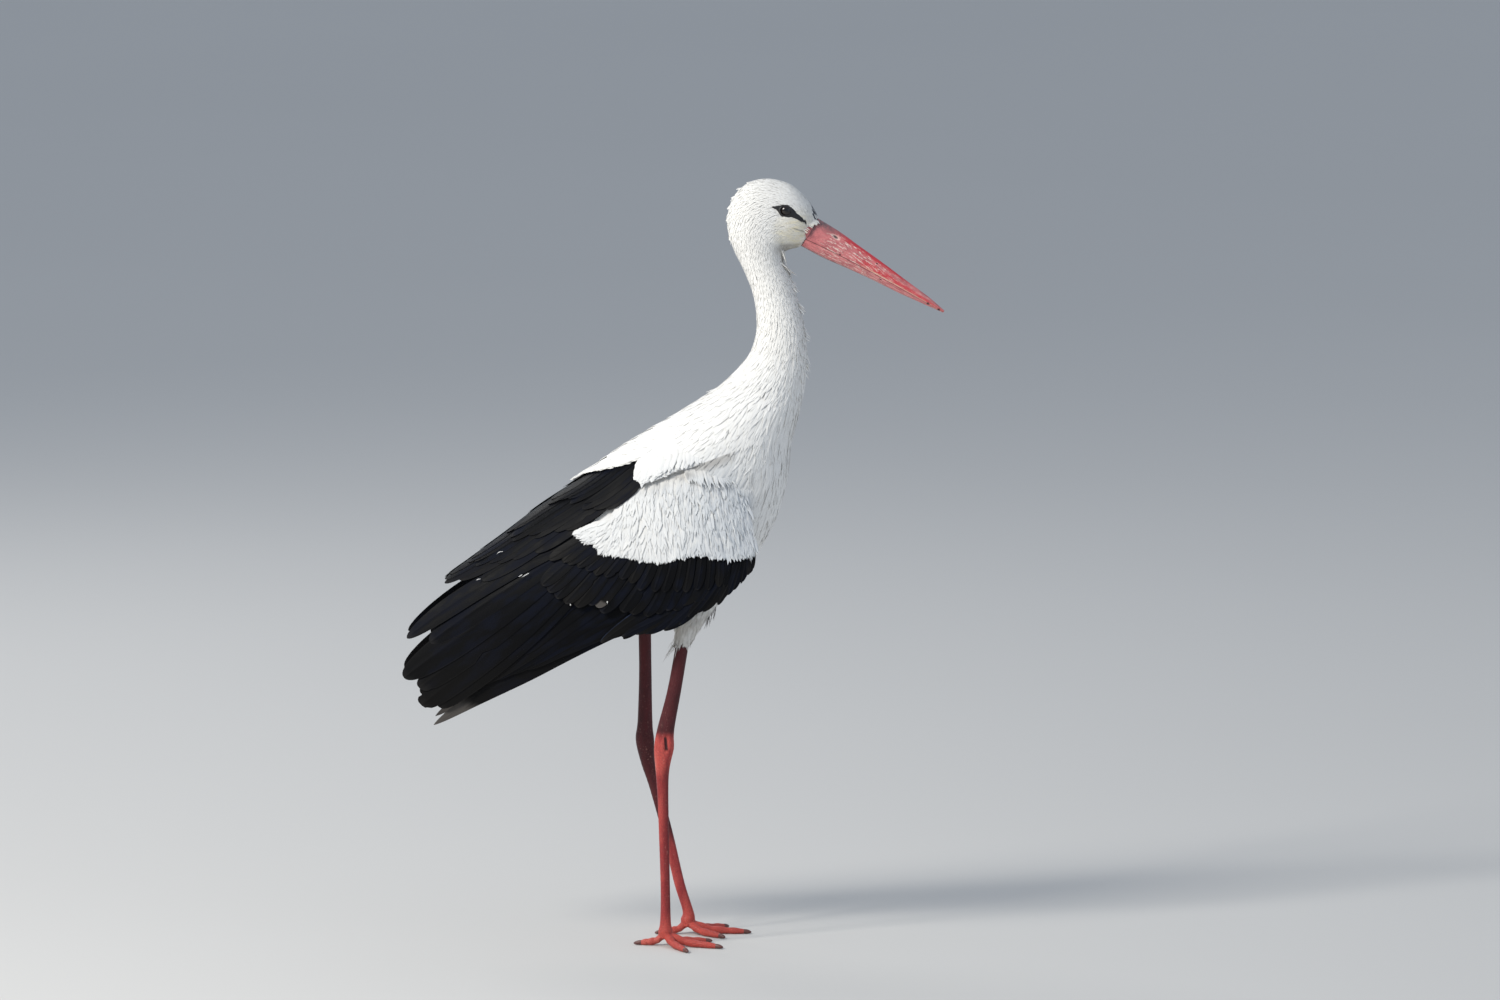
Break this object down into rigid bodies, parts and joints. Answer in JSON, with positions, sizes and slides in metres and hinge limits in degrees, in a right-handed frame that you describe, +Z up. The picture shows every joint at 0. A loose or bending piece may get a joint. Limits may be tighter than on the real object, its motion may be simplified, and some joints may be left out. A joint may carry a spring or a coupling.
{
  "type": "white stork",
  "caption": "Life-size still model of a white stork standing on both feet, neck up, wings folded over the tail, bill pointing forward and down.",
  "frame": {"origin": "on the floor, under the middle of the bird's bounding box, between the feet", "axes": "+X forward, where the bill points; +Y to the bird's left; +Z up"},
  "size_m": [0.6515, 0.2098, 0.9203],
  "materials": {
    "white_plumage": "matt warm white feathers",
    "black_plumage": "black feathers with a faint sheen",
    "bill_red": "horny red bill, worn and slightly shiny",
    "leg_red": "scaly red skin",
    "eye_dark": "wet, near black",
    "claw_horn": "dark horn"
  },
  "bodies": {
    "root": {"bill_lower": "bill_red", "bill_upper": "bill_red", "claw_left_hind": "claw_horn", "claw_left_inner": "claw_horn", "claw_left_middle": "claw_horn", "claw_left_outer": "claw_horn", "claw_right_hind": "claw_horn", "claw_right_inner": "claw_horn", "claw_right_middle": "claw_horn", "claw_right_outer": "claw_horn", "eye_left": "eye_dark", "eye_right": "eye_dark", "foot_left": "leg_red", "foot_right": "leg_red", "head": "white_plumage", "neck": "white_plumage", "shank_left": "leg_red", "shank_right": "leg_red", "tail": "white_plumage", "tarsus_left": "leg_red", "tarsus_right": "leg_red", "thigh_left": "white_plumage", "thigh_right": "white_plumage", "torso": "white_plumage", "wing_left_coverts": "white_plumage", "wing_left_flight": "black_plumage", "wing_left_scapulars": "black_plumage", "wing_left_shoulder": "white_plumage", "wing_right_coverts": "white_plumage", "wing_right_flight": "black_plumage", "wing_right_scapulars": "black_plumage", "wing_right_shoulder": "white_plumage"}
  },
  "joints": []
}
